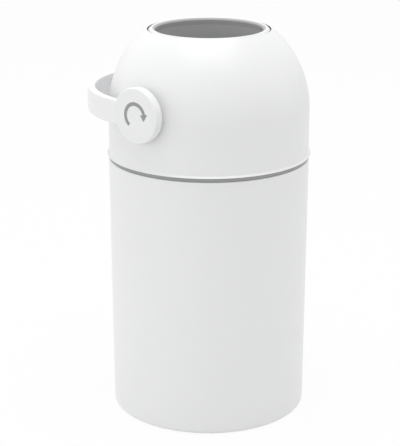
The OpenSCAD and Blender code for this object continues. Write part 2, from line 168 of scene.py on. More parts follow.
def add(tree: Tree, kind: str, **settings: object) -> Node:
    """Adds a node and sets it up.

    Args:
        tree: The tree that gets it.
        kind: Its type.
        settings: Its properties by name, and what feeds its inputs by in_NAME or in_NUMBER.

    Returns:
        The node.
    """
    node = tree.nodes.new(kind)
    for key, value in settings.items():
        name = key.removeprefix("in_")
        if name == key:
            setattr(node, key, value)
        else:
            feed(tree, node.inputs[int(name) if name.isdigit() else name], value)
    return node


def maths(tree: Tree, operation: str, *values: Socket | float) -> Socket:
    """Adds a math node, feeds its inputs in order and gives its result."""
    feeds = {f"in_{i}": value for i, value in enumerate(values)}
    return add(tree, "ShaderNodeMath", operation=operation, **feeds).outputs[0]


def remap(tree: Tree, value: Socket, start: float, end: float) -> Socket:
    """Maps a value so that start becomes 0 and end becomes 1, and clamps it."""
    return add(tree, "ShaderNodeMapRange", in_0=value, in_1=start, in_2=end, in_3=0.0, in_4=1.0).outputs[0]


def blend(tree: Tree, share: Socket, first: Socket, second: Socket) -> Socket:
    """Mixes two colours by the share of the second."""
    return add(tree, "ShaderNodeMix", data_type="RGBA", in_0=share, in_6=first, in_7=second).outputs[2]


@cache
def grain_group() -> Tree:
    """The fine grain of a moulded surface: a height, and a roughness that drifts a little.

    Returns:
        A group with inputs Scale, Roughness and Drift, and outputs Height and Roughness.
    """
    inputs = [(FLOAT, "Scale", 900.0), (FLOAT, "Roughness", 0.4), (FLOAT, "Drift", 0.06)]
    tree = new_group("moulded_grain", inputs, [(FLOAT, "Height"), (FLOAT, "Roughness")])
    given = add(tree, "NodeGroupInput").outputs
    noise = {"kind": "ShaderNodeTexNoise", "in_Vector": add(tree, "ShaderNodeTexCoord").outputs["Object"]}
    fine = add(tree, **noise, in_Scale=given["Scale"], in_Detail=3.0, in_Roughness=0.55)
    broad = add(tree, **noise, in_Scale=26.0, in_Detail=4.0)
    centred = maths(tree, "SUBTRACT", broad.outputs["Fac"], 0.5)
    drift = maths(tree, "MULTIPLY_ADD", centred, given["Drift"], given["Roughness"])
    add(tree, "NodeGroupOutput", in_Height=fine.outputs["Fac"], in_Roughness=drift)
    return tree


@cache
def edge_group() -> Tree:
    """A painted highlight: a lighter tone along edges, where light would catch them, and a normal that rounds
    them.

    Returns:
        A group with inputs Colour, Edge and Radius, and outputs Colour and Normal.
    """
    tones = [(COLOUR, "Colour", (0.8, 0.8, 0.8, 1.0)), (COLOUR, "Edge", (0.9, 0.9, 0.9, 1.0))]
    radius = (FLOAT, "Radius", 0.0006)
    tree = new_group("painted_edge_highlight", [*tones, radius], [(COLOUR, "Colour"), (VECTOR, "Normal")])
    given = add(tree, "NodeGroupInput").outputs
    soft = add(tree, "ShaderNodeBevel", samples=6, in_Radius=given["Radius"]).outputs["Normal"]
    real = add(tree, "ShaderNodeNewGeometry").outputs["Normal"]
    turn = add(tree, "ShaderNodeVectorMath", operation="DOT_PRODUCT", in_0=soft, in_1=real)
    # Where the rounded normal turns from the true one, the colour goes lighter: painted highlight.
    highlight_mask = remap(tree, turn.outputs["Value"], start=0.995, end=0.82)
    tone = blend(tree, highlight_mask, given["Colour"], given["Edge"])
    add(tree, "NodeGroupOutput", in_Colour=tone, in_Normal=soft)
    return tree


@cache
def handling_group() -> Tree:
    """Faint cloudy marks and specks that keep a plain colour from being quite even.

    Returns:
        A group with inputs Colour, Shade, Cloud and Specks, and the output Colour.
    """
    tones = [(COLOUR, "Colour", (0.8, 0.8, 0.8, 1.0)), (COLOUR, "Shade", (0.7, 0.7, 0.7, 1.0))]
    shares = [(FLOAT, "Cloud", 0.15), (FLOAT, "Specks", 0.1)]
    tree = new_group("handling_marks", [*tones, *shares], [(COLOUR, "Colour")])
    given = add(tree, "NodeGroupInput").outputs
    place = add(tree, "ShaderNodeTexCoord").outputs["Object"]
    clouds = add(tree, "ShaderNodeTexNoise", in_Vector=place, in_Scale=9.0, in_Detail=5.0, in_Roughness=0.6)
    dots = add(tree, "ShaderNodeTexVoronoi", in_Vector=place, in_Scale=420.0)
    cloudy = remap(tree, clouds.outputs["Fac"], start=0.42, end=0.75)
    near = remap(tree, dots.outputs["Distance"], start=0.10, end=0.04)
    cloud = maths(tree, "MULTIPLY", cloudy, given["Cloud"])
    speck = maths(tree, "MULTIPLY", near, given["Specks"])
    tone = blend(tree, maths(tree, "MAXIMUM", cloud, speck), given["Colour"], given["Shade"])
    add(tree, "NodeGroupOutput", in_Colour=tone)
    return tree


# ---------- finishes ----------


@dataclass(frozen=True)
class Finish:
    """A surface of plastic, rubber or metal.

    Attributes:
        name: The material's name.
        colour: Its colour, linear.
        shade: The colour of its faint marks.
        edge: The lighter colour along edges, a painted highlight.
        roughness: How matt it is.
        drift: How far the roughness drifts.
        grain: The grain's scale, per metre.
        depth: The grain's depth.
        edge_radius: The radius of the shaded edge rounding.
        cloud: How strong the cloudy marks are.
        specks: How strong the specks are.
        specular: The specular level.
        coat: The weight of the clear top gloss.
        coat_roughness: How matt that gloss is.
        metallic: 1 for a metal.
    """

    name: str
    colour: Rgb
    shade: Rgb
    edge: Rgb
    roughness: float
    drift: float
    grain: float
    depth: float
    edge_radius: float = 0.0004
    cloud: float = 0.15
    specks: float = 0.1
    specular: float = 0.5
    coat: float = 0.0
    coat_roughness: float = 0.18
    metallic: float = 0.0

    @cache
    def material(self) -> bpy.types.Material:
        """Builds the material, once.

        Returns:
            The material.
        """
        made = bpy.data.materials.new(self.name)
        made.use_nodes = True
        tree = made.node_tree
        group = {"tree": tree, "kind": "ShaderNodeGroup"}
        tones = {"in_Colour": (*self.colour, 1), "in_Shade": (*self.shade, 1)}
        marks = add(**group, node_tree=handling_group(), **tones, in_Cloud=self.cloud, in_Specks=self.specks)
        # The edge tone is a painted highlight: every edge is coloured lighter.
        edges = add(**group, node_tree=edge_group(), in_Edge=(*self.edge, 1), in_Radius=self.edge_radius)
        grain = add(**group, node_tree=grain_group(), in_Scale=self.grain, in_Drift=self.drift)
        bump = add(tree, "ShaderNodeBump", in_Strength=1.0, in_Distance=self.depth)
        feed(tree, grain.inputs["Roughness"], self.roughness)
        feed(tree, edges.inputs["Colour"], marks.outputs["Colour"])
        feed(tree, bump.inputs["Height"], grain.outputs["Height"])
        feed(tree, bump.inputs["Normal"], edges.outputs["Normal"])
        feeds = {
            "Base Color": edges.outputs["Colour"],
            "Roughness": grain.outputs["Roughness"],
            "Normal": bump.outputs["Normal"],
            "Metallic": self.metallic,
            "Specular IOR Level": self.specular,
            "Coat Weight": self.coat,
            "Coat Roughness": self.coat_roughness,
        }
        for name, value in feeds.items():
            feed(tree, tree.nodes["Principled BSDF"].inputs[name], value)
        return made


# The third colour of each finish is its painted edge highlight, lighter than the first.
SHELL_WHITE = Finish(
    "white_shell", (0.80, 0.803, 0.808), (0.765, 0.768, 0.772), (0.845, 0.848, 0.852),
    roughness=0.36, drift=0.06, grain=1500.0, depth=0.000012, coat=0.12,
)
# The handle's white is the shell's white made a little lighter: painted light that brightens the band's
# shaded inner side.
LIT_HANDLE_WHITE = Finish(
    "lit_white_handle", (0.82, 0.823, 0.828), (0.785, 0.788, 0.792), (0.865, 0.868, 0.872),
    roughness=0.34, drift=0.06, grain=1500.0, depth=0.000012, coat=0.12,
)
LINER_GREY = Finish(
    "grey_liner", (0.44, 0.442, 0.444), (0.40, 0.402, 0.404), (0.48, 0.482, 0.485),
    roughness=0.44, drift=0.1, grain=1100.0, depth=0.00002, cloud=0.3, specks=0.15,
)
RING_GREY = Finish(
    "grey_ring", (0.30, 0.303, 0.308), (0.26, 0.263, 0.268), (0.36, 0.363, 0.368),
    roughness=0.46, drift=0.1, grain=1100.0, depth=0.00002, cloud=0.3, specks=0.15,
)
SEAL_DARK = Finish(
    "dark_seal", (0.035, 0.035, 0.037), (0.05, 0.05, 0.052), (0.07, 0.07, 0.073),
    roughness=0.72, drift=0.12, grain=800.0, depth=0.00004, cloud=0.4, specks=0.3, specular=0.35,
)
ZINC = Finish(
    "zinc_steel", (0.62, 0.63, 0.65), (0.50, 0.51, 0.53), (0.75, 0.76, 0.78),
    roughness=0.3, drift=0.2, grain=2400.0, depth=0.00001, edge_radius=0.0002, cloud=0.5, specks=0.3,
    metallic=1.0,
)


# ---------- outlines ----------


def rounded(corners: Sequence[Corner], steps: int = 6) -> list[Point]:
    """A closed outline with its corners rounded.

    Args:
        corners: The corners in order, each with its radius. A radius of 0 keeps the corner.
        steps: Pieces in each rounding.

    Returns:
        The outline's points.
    """
    made: list[Point] = []
    for i, (x, y, radius) in enumerate(corners):
        if radius <= 0:
            made.append((x, y))
            continue
        here = Vector((x, y))
        before = Vector(corners[i - 1][:2]) - here
        after = Vector(corners[(i + 1) % len(corners)][:2]) - here
        half = before.angle(after) / 2
        reach = min(radius / math.tan(half), before.length * EDGE_SHARE, after.length * EDGE_SHARE)
        real = reach * math.tan(half)
        start, end = here + before.normalized() * reach, here + after.normalized() * reach
        inwards = (before.normalized() + after.normalized()).normalized()
        middle = here + inwards * (real / math.sin(half))
        sweep = math.atan2((start - middle).cross(end - middle), (start - middle).dot(end - middle))
        for k in range(steps + 1):
            spoke = (start - middle).copy()
            spoke.rotate(Matrix.Rotation(sweep * k / steps, 2))
            made.append(tuple(middle + spoke))
    return made


def arc(x: float, y: float, radius: float, start: float, end: float, steps: int) -> list[Point]:
    """Points on an arc round x and y, from start to end in radians."""
    turns = [start + (end - start) * k / steps for k in range(steps + 1)]
    return [(x + radius * math.cos(turn), y + radius * math.sin(turn)) for turn in turns]


def plain(points: Sequence[Point]) -> list[Corner]:
    """Points as corners that aren't rounded."""
    return [(x, y, 0.0) for x, y in points]


def both_ways(half: Sequence[Corner]) -> list[Corner]:
    """The corners of an upper half, followed by those of its mirror image below."""
    return [*half, *[(x, -z, r) for x, z, r in reversed(half)]]


def bar(radius: float, low: float, high: float) -> list[Point]:
    """The profile of a plain rod that reaches from low to high."""
    return [(0, low), (radius, low), (radius, high), (0, high)]


def soft_bar(radius: float, low: float, high: float, soft: Point, steps: int = 3) -> list[Point]:
    """The profile of a rod with rounded edges, whose radii are given for its start and its end."""
    return rounded([(0, low, 0), (radius, low, soft[0]), (radius, high, soft[1]), (0, high, 0)], steps)


# ---------- places ----------

# Own axes X, Y and Z to the bin's Y, Z and X, to its X, Z and -Y, and to its X, Z and Y.
UPRIGHT = Matrix(((0, 0, 1, 0), (1, 0, 0, 0), (0, 1, 0, 0), (0, 0, 0, 1)))
TO_FRONT = Matrix(((1, 0, 0, 0), (0, 0, -1, 0), (0, 1, 0, 0), (0, 0, 0, 1)))
TO_BACK = Matrix(((1, 0, 0, 0), (0, 0, 1, 0), (0, 1, 0, 0), (0, 0, 0, 1)))


def facing(back: bool, z: float) -> Matrix:
    """Turns an own axis to the front, or to the back, at a height."""
    turn = Matrix.Rotation(math.pi if back else 0, 4, "Z")
    return turn @ Matrix.Translation((0, 0, z)) @ Matrix.Rotation(math.radians(90), 4, "X")


def along_x(y: float, z: float) -> Matrix:
    """Turns an own axis to +X, through a point in Y and Z."""
    return Matrix.Translation((0, y, z)) @ Matrix.Rotation(math.radians(90), 4, "Y")


def four_round(radius: float) -> list[Matrix]:
    """Four places at a radius from the Z axis, half-way between the bin's sides."""
    turns = [math.radians(45 + 90 * quarter) for quarter in range(4)]
    return [Matrix.Translation((radius * math.cos(turn), radius * math.sin(turn), 0)) for turn in turns]


# ---------- meshes ----------


def to_object(name: str, mesh_data: bmesh.types.BMesh) -> Obj:
    """Turns millimetre mesh data into an object in metres, with its normals outwards.

    Args:
        name: The object's name.
        mesh_data: The mesh data, which is freed.

    Returns:
        The object.
    """
    bmesh.ops.remove_doubles(mesh_data, verts=mesh_data.verts, dist=MERGE_DISTANCE)
    bmesh.ops.recalc_face_normals(mesh_data, faces=mesh_data.faces)
    mesh_data.transform(Matrix.Scale(MM, 4))
    mesh = bpy.data.meshes.new(name)
    mesh_data.to_mesh(mesh)
    mesh_data.free()
    made = bpy.data.objects.new(name, mesh)
    bpy.context.scene.collection.objects.link(made)
    return made


def turned(name: str, outline: Sequence[Point], lift: float = 0.0, steps: int = Faces.PLAIN) -> Obj:
    """A closed outline turned about the Z axis.

    Args:
        name: The object's name.
        outline: Radius and height of each point.
        lift: How far the outline is raised.
        steps: Faces round the axis.

    Returns:
        The object.
    """
    data = bmesh.new()
    rings = []
    for k in range(steps):
        c, s = math.cos(2 * math.pi * k / steps), math.sin(2 * math.pi * k / steps)
        rings.append([data.verts.new((max(r, 0.0) * c, max(r, 0.0) * s, z + lift)) for r, z in outline])
    for k in range(steps):
        here, there = rings[k], rings[(k + 1) % steps]
        for i in range(len(outline)):
            j = (i + 1) % len(outline)
            if outline[i][0] <= ON_AXIS and outline[j][0] <= ON_AXIS:
                continue
            data.faces.new((here[i], there[i], there[j], here[j]))
    return to_object(name, data)


def prism(name: str, outline: Sequence[Point], low: float, high: float, place: Matrix) -> Obj:
    """An outline raised along its own third axis and then placed.

    Args:
        name: The object's name.
        outline: The outline's points.
        low: Where it starts on the third axis.
        high: Where it ends.
        place: Where it goes, in millimetres.

    Returns:
        The object.
    """
    data = bmesh.new()
    floor = [data.verts.new((x, y, low)) for x, y in outline]
    roof = [data.verts.new((x, y, high)) for x, y in outline]
    data.faces.new(floor[::-1])
    data.faces.new(roof)
    for i in range(len(outline)):
        j = (i + 1) % len(outline)
        data.faces.new((floor[i], floor[j], roof[j], roof[i]))
    data.transform(place)
    return to_object(name, data)


def rod(name: str, profile: Sequence[Point], place: Matrix, steps: int = Faces.KNUCKLE) -> Obj:
    """A closed outline turned about its own axis and then placed.

    Args:
        name: The object's name.
        profile: Radius and length of each point.
        place: Where it goes, in millimetres.
        steps: Faces round the axis.

    Returns:
        The object.
    """
    made = turned(name, profile, steps=steps)
    made.data.transform(Matrix.Scale(MM, 4) @ place @ Matrix.Scale(1 / MM, 4))
    return made


def combine(target: Obj, tools: Sequence[Obj], change: Change) -> Obj:
    """Joins tools to a target, cuts them from it or trims it to them, and removes the tools.

    Args:
        target: The object that is changed.
        tools: The objects that change it, one after the other.
        change: What they do.

    Returns:
        The target.
    """
    for tool in tools:
        step = target.modifiers.new("step", "BOOLEAN")
        step.object = tool
        step.operation = change.value
        step.solver = "EXACT"
        graph = bpy.context.evaluated_depsgraph_get()
        fresh = bpy.data.meshes.new_from_object(target.evaluated_get(graph))
        target.modifiers.clear()
        old = target.data
        target.data = fresh
        bpy.data.meshes.remove(old)
        bpy.data.objects.remove(tool)
    target.data.name = target.name
    return target


def dress(piece: Obj, finish: Finish) -> None:
    """Gives a piece its finish, and smooth shading that stops at sharp edges.

    Args:
        piece: The piece.
        finish: Its finish.
    """
    piece.data.materials.clear()
    piece.data.materials.append(finish.material())
    piece.data.shade_smooth()
    piece.data.set_sharp_from_angle(angle=SHARP_ANGLE)


def dress_nodes(finishes: dict[str, Finish]) -> None:
    """Gives the CAD nodes that keep their own shapes their finishes."""
    for node, finish in finishes.items():
        dress(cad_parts[node], finish)


def settle(piece: Obj, body: Body, finish: Finish, slot: Slot, *nodes: str) -> None:
    """Dresses a new piece, lets it ride on its body and stand for its CAD nodes.

    Args:
        piece: The new piece.
        body: The body that it rides on.
        finish: Its finish.
        slot: The record's slot for it. Not used.
        nodes: The CAD nodes that it replaces, if there are any.
    """
    dress(piece, finish)
    weighted = piece.modifiers.new("flat_faces", "WEIGHTED_NORMAL")
    weighted.keep_sharp = True
    weighted.weight = FLAT_WEIGHT
    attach(piece, body.value)
    if nodes:
        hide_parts(*nodes)
    log.info("%s: %d faces on %s", piece.name, len(piece.data.polygons), body.value)


# ---------- the sizes that several sub-assemblies share ----------


@dataclass(frozen=True)
class Plan:
    """The shared sizes, in millimetres."""

    body_r: float = 120.0
    base_r: float = 118.0
    base_z: float = 1.0
    inside_z: float = 7.0
    tub_h: float = 314.3
    tub_wall: float = 2.8
    ring_z: float = 314.7
    ring_top: float = 318.7
    dome_z: float = 319.1
    dome_r: float = 119.6
    dome_wall: float = 2.5
    drum_z: float = 386.7
    drum_r: float = 107.4
    well_r: float = 64.6
    liner_r: float = 66.4
    rim_r: float = 71.3
    pin_y: float = 128.0
    pin_z: float = 316.7
    pin_r: float = 2.0
    pin_play: float = 0.05
    knuckle_r: float = 5.0
    knuckle_edge: float = 0.5
    bush_r: float = 12.05
    boss_y: float = 111.8
    pad_y: float = 120.0
    hub_y: float = 121.0
    face_y: float = 131.4


PLAN = Plan()


def knuckles(name: str, x: float, width: float, outline: Sequence[Corner]) -> list[Obj]:
    """A pair of hinge knuckles with their gussets, left and right of the middle.

    Args:
        name: The start of the objects' names.
        x: Distance of each knuckle's inner face from the middle.
        width: Width of each knuckle.
        outline: The gusset's corners in Y and Z, with their radii.

    Returns:
        Four closed objects: a barrel and a gusset on either side.
    """
    made = []
    for side in (-1, 1):
        low, high = (x, x + width) if side > 0 else (-x - width, -x)
        barrel = soft_bar(PLAN.knuckle_r, low, high, (PLAN.knuckle_edge, PLAN.knuckle_edge))
        made.append(rod(f"{name}_barrel", barrel, along_x(PLAN.pin_y, PLAN.pin_z)))
        made.append(prism(f"{name}_gusset", rounded(outline, steps=4), low, high, UPRIGHT))
    return made


def pin_bore(radius: float) -> Obj:
    """A rod on the hinge's axis, to cut the knuckles' bores with."""
    return rod("bore", bar(radius, -PIN_REACH, PIN_REACH), along_x(PLAN.pin_y, PLAN.pin_z), Faces.PIN)


# ---------- sub-assemblies ----------


@dataclass
class Tub:
    """The tall body with its base and the fixed half of the hinge.

    The gusset's out, down and back are shares of the knuckle's radius.
    """

    edge_r: float = 5.0
    inner_edge: float = 4.0
    seam_edge: float = 0.8
    foot_in: float = 102.0
    foot_out: float = 110.0
    foot_sunk: float = 3.0
    hollow_r: float = 96.0
    under_h: float = 4.0
    room_over: float = 20.0
    knuckle_x: float = 16.4
    knuckle_w: float = 12.0
    gusset_h: float = 24.0
    gusset_out: float = 0.6
    gusset_down: float = 0.8
    gusset_back: float = 0.88

    def build(self) -> None:
        """Builds the tub and finishes the ring and the pin that stay with it."""
        p = PLAN
        inner, floor_r = p.body_r - p.tub_wall, p.base_r - p.tub_wall
        outline = [
            (0, self.under_h, 0), (self.hollow_r, self.under_h, 0.6), (self.hollow_r, p.base_z, 0.4),
            (self.foot_in, p.base_z, 0.3), (self.foot_in, self.foot_sunk, 0),
            (self.foot_out, self.foot_sunk, 0), (self.foot_out, p.base_z, 0.3),
            (p.base_r, p.base_z, self.edge_r), (p.body_r, p.tub_h, self.seam_edge), (inner, p.tub_h, 0.5),
            (floor_r, p.inside_z, self.inner_edge), (0, p.inside_z, 0),
        ]
        tub = turned("tub_shell", rounded(outline), steps=Faces.WALL)
        gusset = [
            (inner, p.tub_h - self.gusset_h, 0),
            (p.pin_y + p.knuckle_r * self.gusset_out, p.pin_z - p.knuckle_r * self.gusset_down, 1.0),
            (p.pin_y, p.pin_z, 0), (p.pin_y - p.knuckle_r * self.gusset_back, p.tub_h, 0.5),
            (inner - p.tub_wall, p.tub_h, 0),
        ]
        combine(tub, knuckles("tub", self.knuckle_x, self.knuckle_w, gusset), Change.JOIN)
        roof = p.tub_h + self.room_over
        room = [
            (0, p.inside_z, 0), (floor_r, p.inside_z, self.inner_edge), (inner, p.tub_h, 0), (inner, roof, 0),
            (0, roof, 0),
        ]
        combine(tub, [turned("room", rounded(room), steps=Faces.WALL), pin_bore(p.pin_r)], Change.CUT)
        settle(tub, Body.BASE, SHELL_WHITE, Slot.WHITE, "tub")
        dress_nodes({"foot_ring": SEAL_DARK, "hinge_pin": ZINC})


@dataclass
class BagRing:
    """The grey ring at the seam, which the bag folds over."""

    upper_r: float = 121.7
    lower_r: float = 119.5
    bore_r: float = 104.0
    collar_h: float = 20.0
    wall: float = 2.4
    skirt_h: float = 6.0
    skirt_play: float = 0.6
    bead_h: float = 2.2
    bead_play: float = 2.0
    tab_r: float = 13.0
    tab_in: float = 1.0
    tab_edge: float = 0.6
    knuckle_x: float = 8.0
    knuckle_w: float = 8.0
    gusset_root: float = 6.0

    def build(self) -> None:
        """Builds the ring."""
        p = PLAN
        skirt = p.body_r - p.tub_wall - self.skirt_play
        bead = p.dome_r - p.dome_wall - self.bead_play
        collar_r, collar_low = self.bore_r + self.wall, p.ring_z - self.collar_h
        outline = [
            (self.bore_r, collar_low, 0.9), (collar_r, collar_low, 0.9),
            (collar_r, p.ring_z, 1.0), (skirt - self.wall, p.ring_z, 1.0),
            (skirt - self.wall, p.ring_z - self.skirt_h, 0.8), (skirt, p.ring_z - self.skirt_h, 0.8),
            (skirt, p.ring_z, 0.3), (self.lower_r, p.ring_z, 0.3), (self.upper_r, p.ring_top, 0.3),
            (bead, p.ring_top, 0.3), (bead, p.ring_top + self.bead_h, 0.8),
            (bead - self.wall, p.ring_top + self.bead_h, 0.8), (bead - self.wall, p.ring_top, 0.3),
            (self.bore_r, p.ring_top, 1.2),
        ]
        ring = turned("bag_ring_moulding", rounded(outline), steps=Faces.WALL)
        low, high, root = p.ring_z, p.ring_top, p.body_r - self.gusset_root
        gusset = [(root, low, 0), (p.pin_y, low, 0), (p.pin_y, high, 0), (root, high, 0)]
        place = Matrix.Translation((0, self.tab_in - self.bore_r, p.ring_top - self.wall))
        profile = soft_bar(self.tab_r, 0, self.wall, (self.tab_edge, self.tab_edge))
        tab = rod("tab", profile, place, Faces.BOSS)
        combine(ring, [*knuckles("ring", self.knuckle_x, self.knuckle_w, gusset), tab], Change.JOIN)
        combine(ring, [pin_bore(p.pin_r + p.pin_play)], Change.CUT)
        settle(ring, Body.RING, RING_GREY, Slot.GREY, "bag_ring")


@dataclass
class Dome:
    """The domed top with its bushes, seals and the plate under the drum.

    The gusset's out, up and back are shares of the knuckle's radius. The arc's stop and the bead's turn
    are radians.
    """

    side_z: float = 373.7
    arc_r: float = 121.85
    arc_x: float = -2.25
    arc_stop: float = 0.004
    mouth_r: float = 72.8
    bead_r: float = 1.4
    bead_turn: float = 0.15
    lip_r: float = 122.0
    lip_h: float = 2.3
    lip_edge: float = 0.35
    shade_lip_gap: float = 0.12
    shade_lip_w: float = 0.9
    shade_lip_h: float = 0.9
    knuckle_x: float = 28.8
    knuckle_w: float = 9.0
    gusset_h: float = 24.0
    gusset_root: float = 16.0
    gusset_out: float = 0.5
    gusset_up: float = 0.8
    gusset_back: float = 0.88
    core_under: float = 5.0
    core_over: float = 60.0
    boss_r: float = 17.05
    bore_over: float = 2.0
    stop_r: float = 21.05
    stop_t: float = 3.55
    stop_gap: float = 0.35
    stop_root: float = 1.0
    lug_h: float = 5.0
    post_ring: float = 113.4
    post_d: float = 9.0
    post_z: float = 326.2
    post_h: float = 30.0

    def shell_outline(self) -> list[Point]:
        """The wall in section: the flared lip, up the outside, round the mouth's bead and down the inside.

        Returns:
            The outline's points.
        """
        p = PLAN
        bead_x = self.mouth_r + self.bead_r
        mid_r = self.arc_r - p.dome_wall / 2
        end = math.acos((bead_x - self.arc_x) / mid_r)
        bead_z = self.side_z + mid_r * math.sin(end)
        stop = end - self.arc_stop
        outside = arc(self.arc_x, self.side_z, self.arc_r, 0, stop, Pieces.WALL)
        inside = arc(self.arc_x, self.side_z, self.arc_r - p.dome_wall, stop, 0, Pieces.WALL)
        lip_start, lip_end = end - self.bead_turn, end + math.pi + self.bead_turn
        lip = arc(bead_x, bead_z, self.bead_r, lip_start, lip_end, Pieces.BEAD)
        foot = rounded(
            [
                (p.dome_r - p.dome_wall, p.dome_z, 0.5), (self.lip_r, p.dome_z, self.lip_edge / 2),
                (self.lip_r, p.dome_z + self.lip_edge, self.lip_edge), (p.dome_r, p.dome_z + self.lip_h, 2.0),
                (p.dome_r, self.side_z, 0), (p.dome_r - p.dome_wall, self.side_z, 0),
            ]
        )
        return [*foot[:-2], *outside, *lip, *inside]

    def hinge(self) -> list[Obj]:
        """The dome's knuckles, with gussets that end in the middle of the wall.

        Returns:
            Four closed objects.
        """
        p = PLAN
        root = p.body_r - self.gusset_root
        gusset = [
            (root, p.dome_z, 0), (p.pin_y - p.knuckle_r * self.gusset_back, p.dome_z, 0.5),
            (p.pin_y, p.pin_z, 0),
            (p.pin_y + p.knuckle_r * self.gusset_out, p.pin_z + p.knuckle_r * self.gusset_up, 1.0),
            (root, p.dome_z + self.gusset_h, 0),
        ]
        lugs = knuckles("dome", self.knuckle_x, self.knuckle_w, gusset)
        core = bar(p.dome_r - p.dome_wall / 2, p.dome_z - self.core_under, p.dome_z + self.core_over)
        for lug in lugs:
            if "gusset" in lug.name:
                combine(lug, [turned("core", core)], Change.CUT)
        return lugs

    def stops(self) -> list[Obj]:
        """The half ring above each axle that stops the drum's lug at both ends of its travel.

        Returns:
            One object for the front and one for the back.
        """
        p = PLAN
        end = math.pi - math.asin(self.stop_gap / self.stop_r)
        start = math.pi - (math.pi - math.asin((self.lug_h + self.stop_gap) / self.stop_r))
        outer = arc(0, 0, self.stop_r, start, end, Pieces.STOP)
        inner = arc(0, 0, self.boss_r - self.stop_root, end, start, Pieces.STOP)
        place = Matrix.Translation((0, 0, p.drum_z)) @ TO_BACK
        spans = ((-p.boss_y - self.stop_t, -p.boss_y), (p.boss_y, p.boss_y + self.stop_t))
        return [prism("stop", outer + inner, *span, place) for span in spans]

    def shade_lip(self) -> Obj:
        """The upper seal's inner lip, a dark piece put where the mouth's gap lies in shadow: painted shade
        that shows as a dark line under the mouth's bead.

        Returns:
            The lip, in its place.
        """
        reach = PLAN.drum_r + self.shade_lip_gap
        tip, root = self.mouth_r - self.shade_lip_w, self.mouth_r + self.bead_r
        low = math.sqrt(reach**2 - tip**2)
        outline = [
            (tip, low, 0.1), (root, math.sqrt(reach**2 - root**2), 0), (root, low + self.shade_lip_h, 0),
            (tip, low + self.shade_lip_h, 0.25),
        ]
        return turned("upper_seal_shade_lip", rounded(outline, steps=4), lift=PLAN.drum_z, steps=Faces.WALL)

    def build(self) -> None:
        """Builds the dome and finishes what is fixed to it."""
        p = PLAN
        dome = turned("dome_shell", self.shell_outline(), steps=Faces.WALL)
        parts = self.hinge()
        boss = soft_bar(self.boss_r, p.boss_y, p.pad_y, soft=(0.6, 0.25))
        parts.extend(rod("boss", boss, facing(back, p.drum_z), Faces.BOSS) for back in (False, True))
        parts.extend(self.stops())
        post = soft_bar(self.post_d / 2, self.post_z, self.post_z + self.post_h, soft=(0.4, 1.2))
        parts.extend(rod("post", post, place, Faces.COLUMN) for place in four_round(self.post_ring))
        combine(dome, parts, Change.JOIN)
        hole = bar(p.bush_r, p.boss_y - self.bore_over, p.pad_y + self.bore_over)
        bores = [rod("hole", hole, facing(back, p.drum_z), Faces.BOSS) for back in (False, True)]
        combine(dome, [*bores, pin_bore(p.pin_r + p.pin_play)], Change.CUT)
        settle(dome, Body.TOP, SHELL_WHITE, Slot.WHITE, "dome")
        # The dark lip is painted shade for the shadow in the mouth's gap.
        settle(self.shade_lip(), Body.TOP, SEAL_DARK, Slot.SEAL)
        dress_nodes({"front_bush": LINER_GREY, "rear_bush": LINER_GREY, "upper_seal": SEAL_DARK})
        dress_nodes({"lower_seal": SEAL_DARK, "lower_shroud": RING_GREY, "shroud_screws": ZINC})


